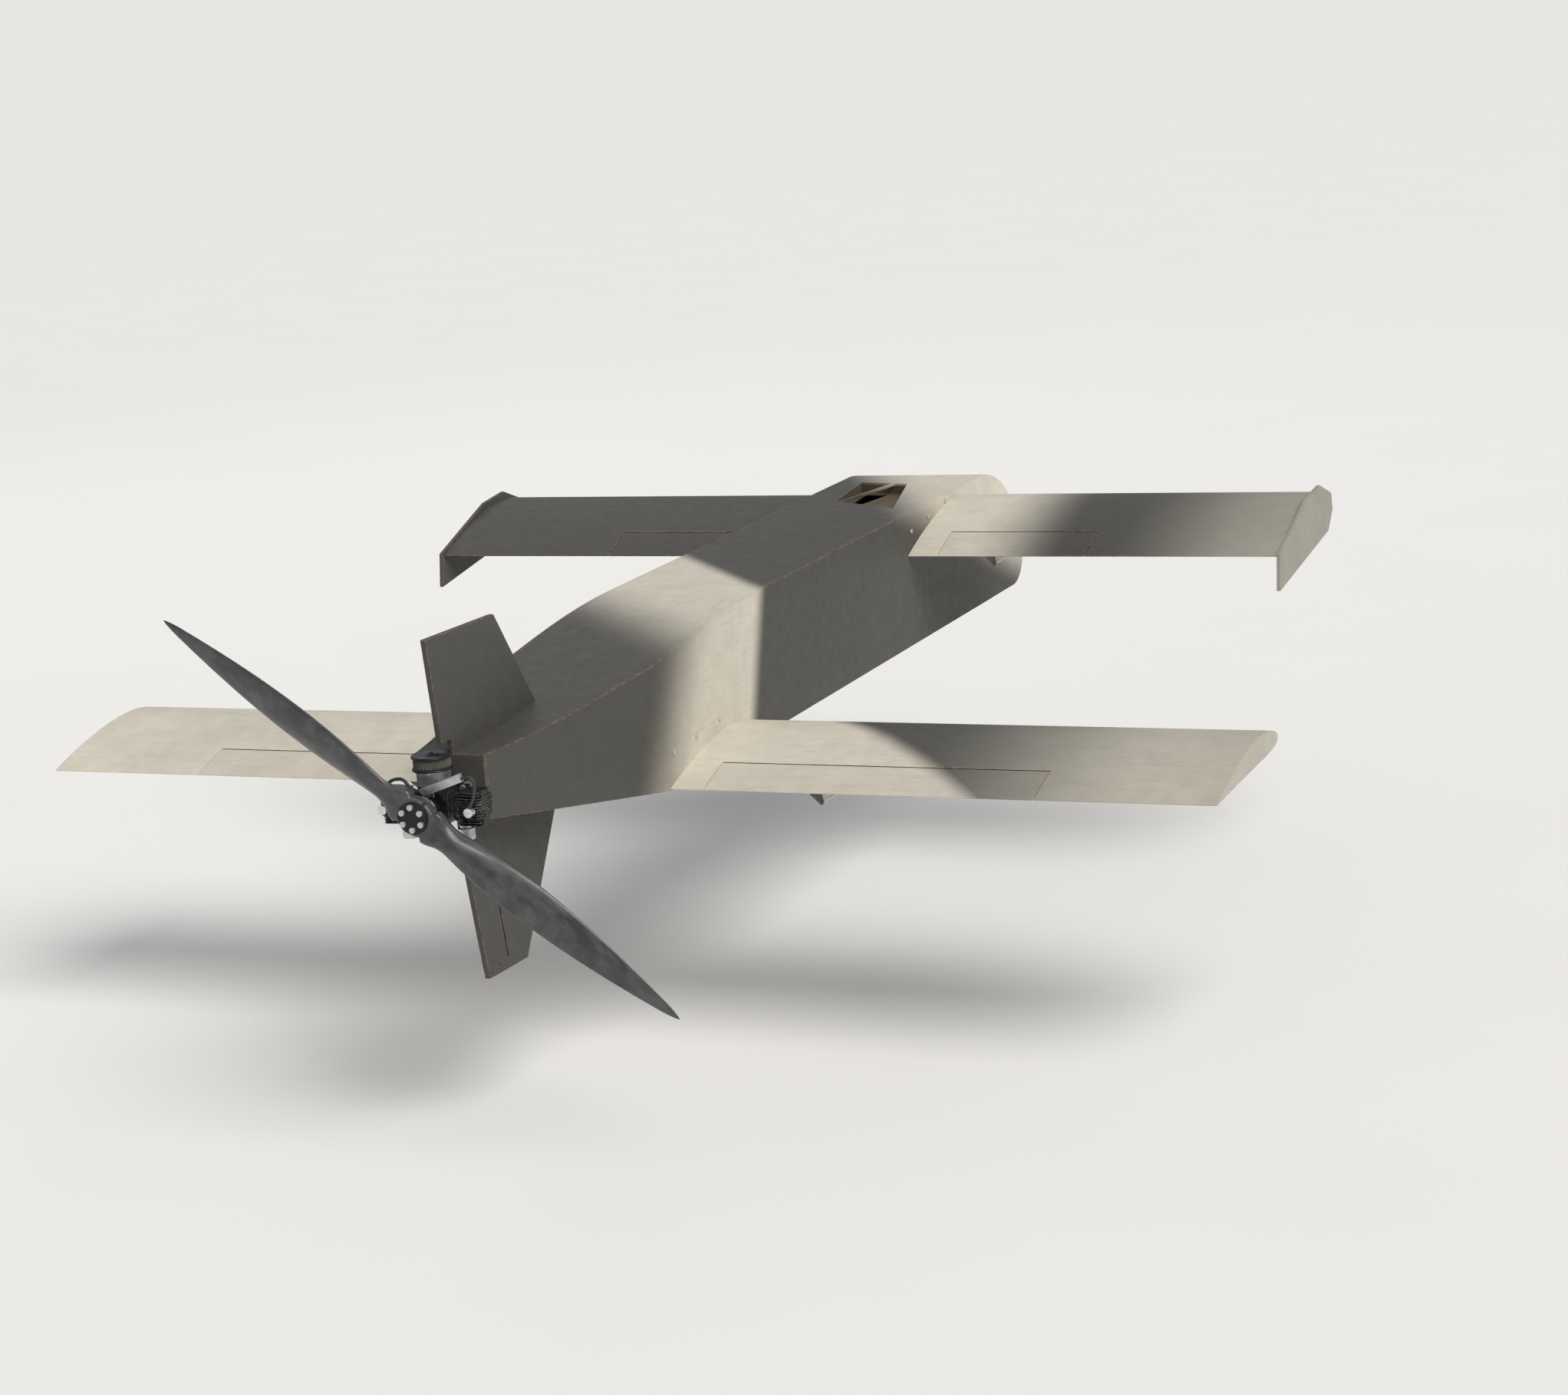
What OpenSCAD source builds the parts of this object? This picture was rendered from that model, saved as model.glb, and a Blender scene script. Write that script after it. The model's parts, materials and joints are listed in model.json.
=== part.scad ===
// Tandem-wing fixed wing drone with a box fuselage, cross tail and pusher engine.
// Millimetres, +Z up, nose towards -Y, +X to port.
// Origin: belly skin, centre line, under the centre of gravity.

/* [Fuselage] */
// Width across the side panels
body_w = 304; // [300:2:312]
// Height over the flat belly and deck
body_h = 268; // [262:2:276]
// Plywood panel thickness
ply = 6; // [5:1:6]

/* [Wings] */
// Span of the low rear wing
rear_span = 2300; // [2100:50:2500]
// Span of the high front wing
front_span = 1850; // [1700:50:2000]
// Chord of both wings
chord = 360; // [350:5:370]

/* [Control surfaces] */
// Gap round each moving surface
surface_gap = 1.5; // [1.5:0.1:2]
// Length of the servo arms and of the matching horns
link_len = 54; // [48:1:56]

/* [Propeller] */
// Tip to tip
prop_d = 1090; // [900:10:1110]

/* [Hidden] */
$fn = 48;
// Running clearance on radius of every pin in its hole
run = 0.05;
half_w = body_w / 2;

// Fuselage stations along Y
nose_y = -1020;
cap_y = -820;
kink_y = 780;
tail_y = 1260;
// Nose rounding in side view
nose_top_r = 220;
nose_low_r = 70;
// Open joint between the nose shell and the box
seam = 1;
// Tail end section
tail_half_w = 65;
tail_low_z = 80;
tail_top_z = 190;
// The deck bends down in a soft S from here to the tail
bend_y = 350;
bend_n = 14;
// Frame stations
frame_ys = [cap_y, -590, -206, 200, 450, 700];
tail_frame_y = 1080;
frame_border = 26;
frame_slack = 1;
stringer = 12;

// Wing frame: [trailing edge y, trailing edge z, half span, elevon start, elevon end, horn x,
//   incidence, height of the root screws above the chord line]
rear = [kink_y, 4, rear_span / 2, 215, 830, 398, 4.2, 58];
front = [-372, 183, front_span / 2, 215, 530, 300, 8, 43];
left = 1;
right = -1;
// Joint line between each wing root and the fuselage side
root_gap = 0.2;
// Section: thickness, camber and camber station as fractions of chord
sec_t = 0.12;
sec_m = 0.035;
sec_p = 0.4;
sec_n = 24;
te_t = 1.5;
// Spar tubes as [chord fraction, radius, reach into each wing]
spars = [[0.30, 12, 700], [0.60, 6, 240]];
// Elevon hinge
hinge_f = 0.75;
hinge_u = hinge_f * chord;
hinge_v = camber(hinge_f) * chord;
nose_r = half_thick(hinge_f) * chord - 0.4;
pin_r = 2;
pin_grip = 18;
// Servo: length, width, height, and shaft centre from one end
servo_l = 41;
servo_w = 20;
servo_h = 38;
shaft_in = 11;
arm_t = 4;
horn_t = 3;
rod_r = 1.5;
servo_u = hinge_u - 80;

// Hatch under the avionics bay
hatch_y0 = -560;
hatch_l = 340;
hatch_w = 220;
hatch_gap = 1.5;
// Flush piano hinge along the port edge of the hatch
knuckle_r = ply / 2 - 0.1;
knuckle_l = 30;
knuckle_ys = [40, 270];
knuckle_gap = 0.5;
hatch_pin_r = 1.5;
swing_gap = 4.5;
latch_r = 8;
latch_t = 2.5;
// Launch cradle bolts
cradle_dx = 80;
cradle_dy = 100;
cradle_r = 3.25;

// Tail surfaces
fin_t = 10;
rudder_foot = [1150, -206];
rudder_head = [1180, 20];
rudder_lean = atan2(rudder_head[0] - rudder_foot[0], rudder_head[1] - rudder_foot[1]);
rudder_low = 12;
rudder_high = 200;
torque_r = 4;

// Engine
crank_z = 118;
wall_t = 8;
post_l = 22;
flange_y = tail_y + wall_t + post_l;
flange_t = 6;
case_r = 36;
cyl_y = flange_y + 32;
case_end = flange_y + 58;
snout_end = case_end + 16;
shaft_r = 8;
hub_y = snout_end + 2;
hub_t = 10;
prop_y = hub_y + hub_t;
prop_t = 24;
prop_rest = 36;
post_x = 38;
post_z = 24;
head_x = 94;
fins_x = 50;
fin_r = 28;
fin_pitch = 4.5;
plug_x = 80;
stub_x = 52;
carb_z = crank_z + case_r;
carb_h = 26;
filter_z = carb_z + carb_h;
filter_r = 34;
filter_h = 25;
// Throttle linkage
lever_len = 14;
lever_z = carb_z + 11;
lever_y = cyl_y - 7;
throttle_y = 1243;
lever_x = 21;
throttle_arm_x = 28;
throttle_rod_x = 26;

// Fuel
tank = [200, 280, 150];
tank_z = 40;
bearer_dy = 60;
filler_z = 150;
filler_r = 18;
fuel_x = -14;
fuel_z = lever_z - 9;
fuel_r = 3.5;

// Power switch in the port side
switch_at = [half_w - ply / 2, -300, 130];
switch_l = 30;
switch_h = 16;
switch_pin_r = 1.5;

// Equipment tray and its spare module holes
tray_z = 60;
tray_t = 4;
tray_y = -395;
tray_dx = 100;
tray_dy = 150;
tray_hole_r = 1.65;

cream = [0.78, 0.76, 0.70];
shade = [0.70, 0.69, 0.64];
birch = [0.80, 0.68, 0.48];
carbon = [0.13, 0.13, 0.14];
steel = [0.72, 0.73, 0.74];
alloy = [0.62, 0.63, 0.65];
black = [0.10, 0.10, 0.10];
blue = [0.16, 0.26, 0.40];

// ---- Helpers ----

// Lays a profile drawn as (Y, Z) along X from x0
module along_x(x0, len) {
  translate([x0, 0, 0])
    rotate([90, 0, 90])
      linear_extrude(len)
        children();
}

// Lays a profile drawn as (X, Z) along Y from y0
module along_y(y0, len) {
  translate([0, y0 + len, 0])
    rotate([90, 0, 0])
      linear_extrude(len)
        children();
}

module rod_x(at, r, len) {
  translate(at)
    rotate([0, 90, 0])
      cylinder(h = len, r = r);
}

module rod_y(at, r, len) {
  translate(at)
    rotate([-90, 0, 0])
      cylinder(h = len, r = r);
}

module on_side(side) {
  if (side > 0)
    children();
  else
    mirror([1, 0, 0])
      children();
}

module both_sides() {
  for (side = [left, right])
    on_side(side)
      children();
}

// ---- Fuselage ----

function tail_share(y) = (y - kink_y) / (tail_y - kink_y);
function belly_z(y) = y < kink_y ? 0 : tail_low_z * tail_share(y);
function bend_share(y) = (y - bend_y) / (tail_y - bend_y);
function deck_z(y) = y < bend_y
  ? body_h
  : body_h + (tail_top_z - body_h) * (1 - cos(180 * bend_share(y))) / 2;
function wall_x(y) = y < kink_y ? half_w : half_w + (tail_half_w - half_w) * tail_share(y);

// Side view of the fuselage, drawn as (Y, Z), taken in by inset
module side_shape(inset = 0) {
  difference() {
    polygon(concat(
      [[nose_y + inset, body_h - inset]],
      [for (i = [0 : bend_n])
        let (y = bend_y + (tail_y - bend_y) * i / bend_n)
        [y, deck_z(y) - inset]],
      [[tail_y, tail_low_z + inset], [kink_y, inset], [nose_y + inset, inset]]
    ));
    nose_corner(nose_top_r, inset);
    translate([0, body_h])
      mirror([0, 1])
        nose_corner(nose_low_r, inset);
  }
}

// What rounding the upper front corner takes away
module nose_corner(r, inset) {
  difference() {
    translate([nose_y - 1, body_h - r])
      square(r + 1);
    translate([nose_y + r, body_h - r])
      circle(r - inset, $fn = 96);
  }
}

// Plan view of the fuselage, drawn as (X, Y), taken in by inset
module plan_shape(inset = 0) {
  polygon([
    [-half_w + inset, nose_y],
    [-half_w + inset, kink_y],
    [-tail_half_w + inset, tail_y],
    [tail_half_w - inset, tail_y],
    [half_w - inset, kink_y],
    [half_w - inset, nose_y]
  ]);
}

// Flat skin between the side panels: the part of the side view between two heights and stations
module skin(y0, y1, z0, z1) {
  intersection() {
    along_x(-half_w, body_w)
      intersection() {
        difference() {
          side_shape();
          side_shape(ply);
        }
        translate([y0, z0])
          square([y1 - y0, z1 - z0]);
      }
    linear_extrude(body_h)
      plan_shape(ply);
  }
}

module side_panel(side) {
  on_side(side)
    difference() {
      intersection() {
        along_x(0, half_w)
          side_shape();
        linear_extrude(body_h)
          difference() {
            plan_shape();
            plan_shape(ply);
            translate([-half_w, nose_y])
              square([body_w, cap_y - nose_y]);
          }
      }
      for (w = [rear, front])
        spar_bores(w);
      for (w = [rear, front])
        for (at = screw_points(w))
          rod_x([half_w - 2 * ply, at[0], at[1]], 2, 3 * ply);
      if (side == left) {
        rod_x([half_w - 2 * ply, 0, filler_z], filler_r + run, 3 * ply);
        translate(switch_at) {
          cube([3 * ply, switch_l + 3, switch_h + 1], center = true);
          cylinder(h = switch_h + 12, r = switch_pin_r + run, center = true);
        }
      }
    }
}

module side_panel_left() { color(cream) side_panel(left); }
module side_panel_right() { color(cream) side_panel(right); }

module belly_panel() {
  color(cream) {
    difference() {
      skin(cap_y, tail_y, 0, tail_low_z + ply);
      translate([-hatch_w / 2, hatch_y0, -1])
        cube([hatch_w + swing_gap, hatch_l, ply + 2]);
      for (x = [-cradle_dx, cradle_dx])
        for (y = [-cradle_dy, cradle_dy])
          translate([x, y, -1])
            cylinder(h = ply + 2, r = cradle_r);
      torque_bore();
    }
    belly_knuckles();
    latch_lip();
  }
}

module top_deck() {
  color(cream)
    difference() {
      skin(cap_y, tail_y, tail_top_z - ply, body_h);
      translate([0, 0, body_h - 2 * ply])
        linear_extrude(3 * ply)
          difference() {
            inlet_outline();
            inlet_strip();
          }
    }
}

// Moulded nose shell, butted to the box with a thin open seam
module nose_cap() {
  color(cream)
    difference() {
      along_x(-half_w, body_w)
        intersection() {
          side_shape();
          translate([nose_y, 0])
            square([cap_y - nose_y - seam, body_h]);
        }
      along_x(-half_w + ply, body_w - 2 * ply)
        intersection() {
          side_shape(ply);
          translate([nose_y, 0])
            square([cap_y - nose_y, body_h]);
        }
    }
}

module firewall() {
  color(cream)
    difference() {
      translate([-tail_half_w, tail_y, tail_low_z])
        cube([2 * tail_half_w, wall_t, tail_top_z - tail_low_z]);
      post_points()
        rod_y([0, tail_y - 1, 0], 3, wall_t + 2);
      rod_y([throttle_rod_x, tail_y - 1, lever_z - lever_len], 5, wall_t + 2);
      rod_y([fuel_x, tail_y - 1, fuel_z], fuel_r, wall_t + 2);
    }
}

// Rectangular plywood ring with notched corners for the stringers
module frame_ring(y, half, z0, z1) {
  along_y(y, ply)
    difference() {
      translate([-half, z0])
        square([2 * half, z1 - z0]);
      translate([-half + frame_border, z0 + frame_border])
        square([2 * (half - frame_border), z1 - z0 - 2 * frame_border]);
      for (x = [-half, half - stringer])
        for (z = [z0, z1 - stringer])
          translate([x, z])
            square(stringer);
    }
}

module fuselage_frames() {
  inner = half_w - ply;
  top = body_h - ply - frame_slack;
  aft = tail_frame_y + ply;
  color(birch) {
    difference() {
      union() {
        for (y = frame_ys)
          frame_ring(y, inner, ply, deck_z(y + ply) - ply - frame_slack);
        for (x = [-inner, inner - stringer]) {
          translate([x, cap_y, ply])
            cube([stringer, kink_y - cap_y - 10, stringer]);
          translate([x, cap_y, top - stringer])
            cube([stringer, bend_y - cap_y, stringer]);
        }
      }
      inlet_block(tray_share);
    }
    frame_ring(tail_frame_y, wall_x(aft) - 1.2 * ply,
      belly_z(aft) + 1.2 * ply, deck_z(aft) - 1.2 * ply);
    // Bearers under the fuel tank
    for (y = [-bearer_dy, bearer_dy])
      translate([-inner, y - ply, ply])
        cube([2 * inner, 2 * ply, tank_z - ply]);
    rudder_servo_shelf();
  }
}

module rudder_servo_shelf() {
  difference() {
    intersection() {
      rudder_frame()
        translate([-half_w, -25, torque_top - 4])
          cube([body_w, 70, 4]);
      linear_extrude(body_h)
        plan_shape(ply);
    }
    torque_bore();
  }
}

// ---- Air inlet in the front deck ----

inlet_mid = [13, -609];
inlet_corners = [[52, 79], [85, -134], [-29, -112], [-110, 167]];
inlet_wall = 3;
inlet_depth = 20;
// Tray outline as a multiple of the opening
tray_share = 1.05;

// Skewed four-sided opening, grown or shrunk about its middle
module inlet_outline(share = 1) {
  translate(inlet_mid)
    scale(share)
      polygon(inlet_corners);
}

// Thin diagonal strip of deck left across the opening
module inlet_strip() {
  translate(inlet_mid)
    polygon([[48, 95], [41, 95], [-1, -135], [6, -135]]);
}

module inlet_block(share) {
  translate([0, 0, body_h - ply - inlet_depth])
    linear_extrude(inlet_depth)
      inlet_outline(share);
}

// Open-topped duct box glued under the deck, with an air hole in its floor
module inlet_tray() {
  color(shade)
    difference() {
      inlet_block(tray_share);
      translate([0, 0, inlet_wall])
        inlet_block(1);
      translate([inlet_mid[0], inlet_mid[1], body_h - ply - inlet_depth - 1])
        linear_extrude(inlet_wall + 2)
          polygon([[14, -104], [70, -116], [46, 66], [41, 66]]);
    }
}

// ---- Equipment hatch ----

// Belly side of the piano hinge: knuckles that reach into the hatch's port edge
module belly_knuckles() {
  for (dy = knuckle_ys)
    translate([hatch_w / 2, hatch_y0 + dy, 0])
      difference() {
        union() {
          rod_y([0, 0, ply / 2], knuckle_r, knuckle_l);
          cube([swing_gap + 1, knuckle_l, ply]);
        }
        rod_y([0, -1, ply / 2], hatch_pin_r + run, knuckle_l + 2);
      }
}

module equipment_hatch() {
  length = hatch_l - 2 * hatch_gap;
  color(cream)
    difference() {
      translate([0, hatch_y0 + hatch_gap, 0]) {
        translate([-hatch_w / 2 + hatch_gap, 0, 0])
          cube([hatch_w - hatch_gap, length, ply]);
        rod_y([hatch_w / 2, 0, ply / 2], knuckle_r, length);
      }
      for (dy = knuckle_ys)
        translate([hatch_w / 2 - 1.5 * ply / 2 - knuckle_gap, hatch_y0 + dy - knuckle_gap, -1])
          cube([2 * ply, knuckle_l + 2 * knuckle_gap, ply + 2]);
      rod_y([hatch_w / 2, hatch_y0, ply / 2], hatch_pin_r + run, hatch_l);
      translate([-hatch_w / 2 + 20, hatch_y0 + hatch_l / 2, -1]) {
        cylinder(h = ply + 2, r = 3 + run);
        cylinder(h = latch_t + 1, r = latch_r + run);
      }
    }
}

// Strip inside the belly that the latch stud reaches through
module latch_lip() {
  difference() {
    translate([-hatch_w / 2 - 14, hatch_y0 + hatch_l / 2 - 25, ply])
      cube([50, 50, 4]);
    translate([-hatch_w / 2 + 20, hatch_y0 + hatch_l / 2, ply - 1])
      cylinder(h = 6, r = 6);
  }
}

module hatch_latch() {
  color(steel)
    translate([-hatch_w / 2 + 20, hatch_y0 + hatch_l / 2, 0]) {
      difference() {
        cylinder(h = latch_t, r = latch_r);
        translate([-6, -0.8, -1])
          cube([12, 1.6, 2]);
      }
      translate([0, 0, latch_t])
        cylinder(h = ply + 7 - latch_t, r = 3);
    }
}

// ---- Wing section ----

function half_thick(f) = 5 * sec_t * (0.2969 * sqrt(f) - 0.1260 * f - 0.3516 * f ^ 2
  + 0.2843 * f ^ 3 - 0.1036 * f ^ 4);
function camber(f) = f < sec_p
  ? sec_m / sec_p ^ 2 * (2 * sec_p * f - f ^ 2)
  : sec_m / (1 - sec_p) ^ 2 * (1 - 2 * sec_p + 2 * sec_p * f - f ^ 2);
// Stations bunched at both edges
function station(i) = (1 - cos(180 * i / sec_n)) / 2;
function edge_point(f, sign) =
  [f * chord, (camber(f) + sign * half_thick(f)) * chord + sign * te_t / 2 * f];

module section() {
  polygon(concat(
    [for (i = [sec_n : -1 : 0]) edge_point(station(i), 1)],
    [for (i = [1 : sec_n]) edge_point(station(i), -1)]
  ));
}

// Local wing frame: u back from the leading edge on +Y, v up on +Z
module wing_frame(w) {
  translate([0, w[0], w[1]])
    rotate([-w[6], 0, 0])
      translate([0, -chord, 0])
        children();
}

function wing_point(w, u, v) = [
  w[0] - (chord - u) * cos(w[6]) + v * sin(w[6]),
  w[1] + (chord - u) * sin(w[6]) + v * cos(w[6])
];

function spar_v(f) = camber(f) * chord;

module spar_bores(w) {
  wing_frame(w)
    for (s = spars)
      rod_x([0, s[0] * chord, spar_v(s[0])], s[1] + run, s[2] + run);
}

module spar_tubes() {
  color(carbon)
    for (w = [rear, front])
      wing_frame(w)
        for (s = spars)
          difference() {
            rod_x([-s[2], s[0] * chord, spar_v(s[0])], s[1], 2 * s[2]);
            rod_x([-s[2] - 1, s[0] * chord, spar_v(s[0])], 0.8 * s[1], 2 * s[2] + 2);
          }
}

// Pocket in the wing's underside for the servo and its swinging arm
module servo_bay(w) {
  translate([w[5] - servo_h - 3, servo_u - shaft_in - 2, -40])
    cube([servo_h + arm_t + 7, servo_l + 4, 40 + servo_w / 2 + 4]);
}

module wing_panel(w, side) {
  on_side(side)
    wing_frame(w)
      difference() {
        along_x(half_w + root_gap, w[2] - half_w - root_gap)
          section();
        translate([w[3], hinge_u, -30])
          cube([w[4] - w[3], chord, 90]);
        rod_x([w[3], hinge_u, hinge_v], nose_r + surface_gap, w[4] - w[3]);
        for (s = spars)
          rod_x([half_w - 1, s[0] * chord, spar_v(s[0])], s[1] + run, s[2] + run - half_w + 1);
        for (x = [w[3] - pin_grip, w[4] - 1])
          rod_x([x, hinge_u, hinge_v], pin_r + run, pin_grip + 1);
        servo_bay(w);
      }
}

module elevon(w, side) {
  on_side(side)
    wing_frame(w)
      difference() {
        union() {
          along_x(w[3] + surface_gap, w[4] - w[3] - 2 * surface_gap)
            intersection() {
              section();
              translate([hinge_u, -chord])
                square(2 * chord);
            }
          rod_x([w[3] + surface_gap, hinge_u, hinge_v], nose_r, w[4] - w[3] - 2 * surface_gap);
        }
        for (x = [w[3], w[4] - pin_grip])
          rod_x([x, hinge_u, hinge_v], pin_r + run, pin_grip);
        along_x(w[5], horn_t)
          horn_shape();
      }
}

// Side view of the horn: its upper edge is let into the elevon
module horn_shape() {
  polygon([
    [hinge_u + 4, hinge_v - 3],
    [hinge_u + 62, hinge_v - 6],
    [hinge_u + 62, hinge_v - 12],
    [hinge_u + 5, hinge_v - link_len - 6],
    [hinge_u - 4, hinge_v - link_len - 6],
    [hinge_u + 4, hinge_v - 14]
  ]);
}

// Triangular plywood horn let into the elevon's underside
module horn(w, side) {
  on_side(side)
    wing_frame(w)
      difference() {
        along_x(w[5], horn_t)
          horn_shape();
        rod_x([w[5] - 1, hinge_u, hinge_v - link_len], rod_r + run, horn_t + 2);
      }
}

module arm_shape(len) {
  difference() {
    union() {
      circle(6);
      translate([0, -len])
        circle(3.5);
      polygon([[-5, 0], [-3, -len], [3, -len], [5, 0]]);
    }
    translate([0, -len])
      circle(rod_r + run);
  }
}

module servo_arm(w, side) {
  on_side(side)
    wing_frame(w)
      along_x(w[5] - arm_t + horn_t, arm_t)
        translate([servo_u, 0])
          arm_shape(link_len);
}

// Wire pushrod with both ends bent into the arm and the horn
module pushrod(w, side) {
  run_x = w[5] + horn_t + rod_r + 1;
  rise = hinge_v;
  reach = hinge_u - servo_u;
  on_side(side)
    wing_frame(w)
      translate([0, servo_u, -link_len]) {
        rod_x([w[5] - arm_t + horn_t, 0, 0], rod_r, arm_t + rod_r + 1);
        rod_x([w[5], reach, rise], rod_r, horn_t + rod_r + 1);
        translate([run_x, 0, 0])
          rotate([-atan2(reach, rise), 0, 0])
            translate([0, 0, -rod_r])
              cylinder(h = norm([reach, rise]) + 2 * rod_r, r = rod_r);
      }
}

module flight_servos() {
  color(black) {
    for (w = [rear, front])
      both_sides()
        wing_frame(w)
          translate([w[5] - servo_h - 1.5, servo_u - shaft_in, -servo_w / 2])
            difference() {
              cube([servo_h, servo_l, servo_w]);
              translate([servo_h - 6, servo_l - 14, -1])
                cube([7, 15, 4]);
            }
    // Throttle servo
    translate([throttle_arm_x + 3.5, throttle_y - 6, lever_z - 6])
      cube([24, 23, 12]);
    // Rudder servo over its torque shaft
    rudder_frame()
      translate([-servo_w / 2, -shaft_in, torque_top])
        cube([servo_w, servo_l, servo_h]);
  }
}

module rear_wing_left() { color(cream) wing_panel(rear, left); }
module rear_wing_right() { color(cream) wing_panel(rear, right); }
module front_wing_left() { color(cream) wing_panel(front, left); }
module front_wing_right() { color(cream) wing_panel(front, right); }
module rear_elevon_left() { color(shade) elevon(rear, left); }
module rear_elevon_right() { color(shade) elevon(rear, right); }
module front_elevon_left() { color(shade) elevon(front, left); }
module front_elevon_right() { color(shade) elevon(front, right); }
module rear_horn_left() { color(shade) horn(rear, left); }
module rear_horn_right() { color(shade) horn(rear, right); }
module front_horn_left() { color(shade) horn(front, left); }
module front_horn_right() { color(shade) horn(front, right); }
module rear_servo_arm_left() { color(black) servo_arm(rear, left); }
module rear_servo_arm_right() { color(black) servo_arm(rear, right); }
module front_servo_arm_left() { color(black) servo_arm(front, left); }
module front_servo_arm_right() { color(black) servo_arm(front, right); }
module rear_pushrod_left() { color(steel) pushrod(rear, left); }
module rear_pushrod_right() { color(steel) pushrod(rear, right); }
module front_pushrod_left() { color(steel) pushrod(front, left); }
module front_pushrod_right() { color(steel) pushrod(front, right); }

// Drooped plate that closes each front wing tip
module front_tip_plates() {
  color(cream)
    both_sides()
      wing_frame(front)
        along_x(front[2], 8)
          polygon([
            [-12, 4],
            [60, 44],
            [150, 48],
            [chord + 4, 6],
            [chord + 26, -62],
            [30, -62],
            [-12, -30]
          ]);
}

// Screws through the side panel into the wing root blocks: points as (Y, Z)
function screw_points(w) = [for (u = [135, 235, 330]) wing_point(w, u, w[7])];

module root_screws() {
  color(steel)
    both_sides()
      for (w = [rear, front])
        for (at = screw_points(w)) {
          rod_x([half_w, at[0], at[1]], 5, 2.5);
          rod_x([half_w - ply, at[0], at[1]], 2, ply);
        }
}

module hinge_pins() {
  color(steel) {
    for (w = [rear, front])
      both_sides()
        wing_frame(w)
          for (x = [w[3] - pin_grip + 1, w[4] - pin_grip + 1])
            rod_x([x, hinge_u, hinge_v], pin_r, 2 * pin_grip - 2);
    rod_y([hatch_w / 2, hatch_y0 + 10, ply / 2], hatch_pin_r, hatch_l - 20);
    translate(switch_at)
      cylinder(h = switch_h + 8, r = switch_pin_r, center = true);
  }
}

// ---- Tail ----

module upper_fin() {
  color(cream)
    along_x(-fin_t / 2, fin_t)
      difference() {
        polygon([
          [966, deck_z(966)],
          [1080, 384],
          [1311, 392],
          [1294, 214],
          [tail_y, 214],
          [tail_y, tail_low_z],
          [966, tail_low_z]
        ]);
        side_shape();
      }
}

module rudder_frame() {
  translate([0, rudder_foot[0], rudder_foot[1]])
    rotate([-rudder_lean, 0, 0])
      children();
}

torque_top = 310;

// Hole for the rudder's torque shaft above the rudder
module torque_bore() {
  rudder_frame()
    translate([0, 0, rudder_high])
      cylinder(h = torque_top, r = torque_r + run);
}

module lower_fin() {
  color(cream)
    difference() {
      along_x(-fin_t / 2, fin_t)
        polygon([
          [925, belly_z(925)],
          [1083, -216],
          [1217, -212],
          [1253, 6],
          [1255, belly_z(1255)]
        ]);
      rudder_frame() {
        translate([-fin_t, 0, rudder_low - surface_gap])
          cube([2 * fin_t, 200, rudder_high - rudder_low + 2 * surface_gap]);
        translate([0, 0, rudder_low - surface_gap])
          cylinder(h = rudder_high - rudder_low + 2 * surface_gap, r = fin_t / 2 + surface_gap);
        translate([0, 0, rudder_low - pin_grip])
          cylinder(h = pin_grip, r = pin_r + run);
      }
      torque_bore();
    }
}

module rudder() {
  color(shade)
    difference() {
      union() {
        intersection() {
          along_x(-fin_t / 2, fin_t)
            polygon([[1083, -216], [1217, -212], [1253, 6], [1083, 6]]);
          rudder_frame()
            translate([-fin_t, 0, rudder_low])
              cube([2 * fin_t, 200, rudder_high - rudder_low]);
        }
        rudder_frame()
          translate([0, 0, rudder_low])
            cylinder(h = rudder_high - rudder_low, r = fin_t / 2 - 0.3);
      }
      rudder_frame() {
        translate([0, 0, rudder_high - 60])
          cylinder(h = 61, r = torque_r);
        translate([0, 0, rudder_low - 1])
          cylinder(h = pin_grip + 7, r = pin_r);
      }
    }
}

module rudder_shaft() {
  color(steel)
    rudder_frame() {
      translate([0, 0, rudder_high - 60])
        cylinder(h = torque_top - rudder_high + 60, r = torque_r);
      translate([0, 0, rudder_low - pin_grip + 6])
        cylinder(h = 2 * pin_grip, r = pin_r);
    }
}

// ---- Engine ----

// Repeats a rod drawn on the Y axis at the four mounting posts
module post_points() {
  for (x = [-post_x, post_x])
    for (z = [-post_z, post_z])
      translate([x, 0, crank_z + z])
        children();
}

module engine_posts() {
  color(alloy)
    post_points() {
      rod_y([0, tail_y + wall_t, 0], 7, post_l);
      rod_y([0, tail_y, 0], 3, wall_t);
      rod_y([0, flange_y, 0], 3, flange_t);
      rod_y([0, flange_y + flange_t, 0], 5.5, 4);
    }
}

module crankcase() {
  color(alloy)
    difference() {
      union() {
        translate([-post_x - 10, flange_y, crank_z - post_z - 6])
          cube([2 * post_x + 20, flange_t, 2 * post_z + 12]);
        rod_y([0, flange_y + flange_t, crank_z], case_r, case_end - flange_y - flange_t);
        rod_y([0, case_end, crank_z], 20, snout_end - case_end);
        translate([-20, cyl_y - 22, crank_z])
          cube([40, 42, case_r]);
        rod_x([-case_r - 6, cyl_y, crank_z], 24, 2 * case_r + 12);
      }
      rod_y([0, flange_y - 1, crank_z], shaft_r + run, snout_end - flange_y + 2);
      post_points()
        rod_y([0, flange_y - 1, 0], 3, flange_t + 12);
      post_points()
        rod_y([0, flange_y + flange_t, 0], 6, 12);
    }
}

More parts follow.
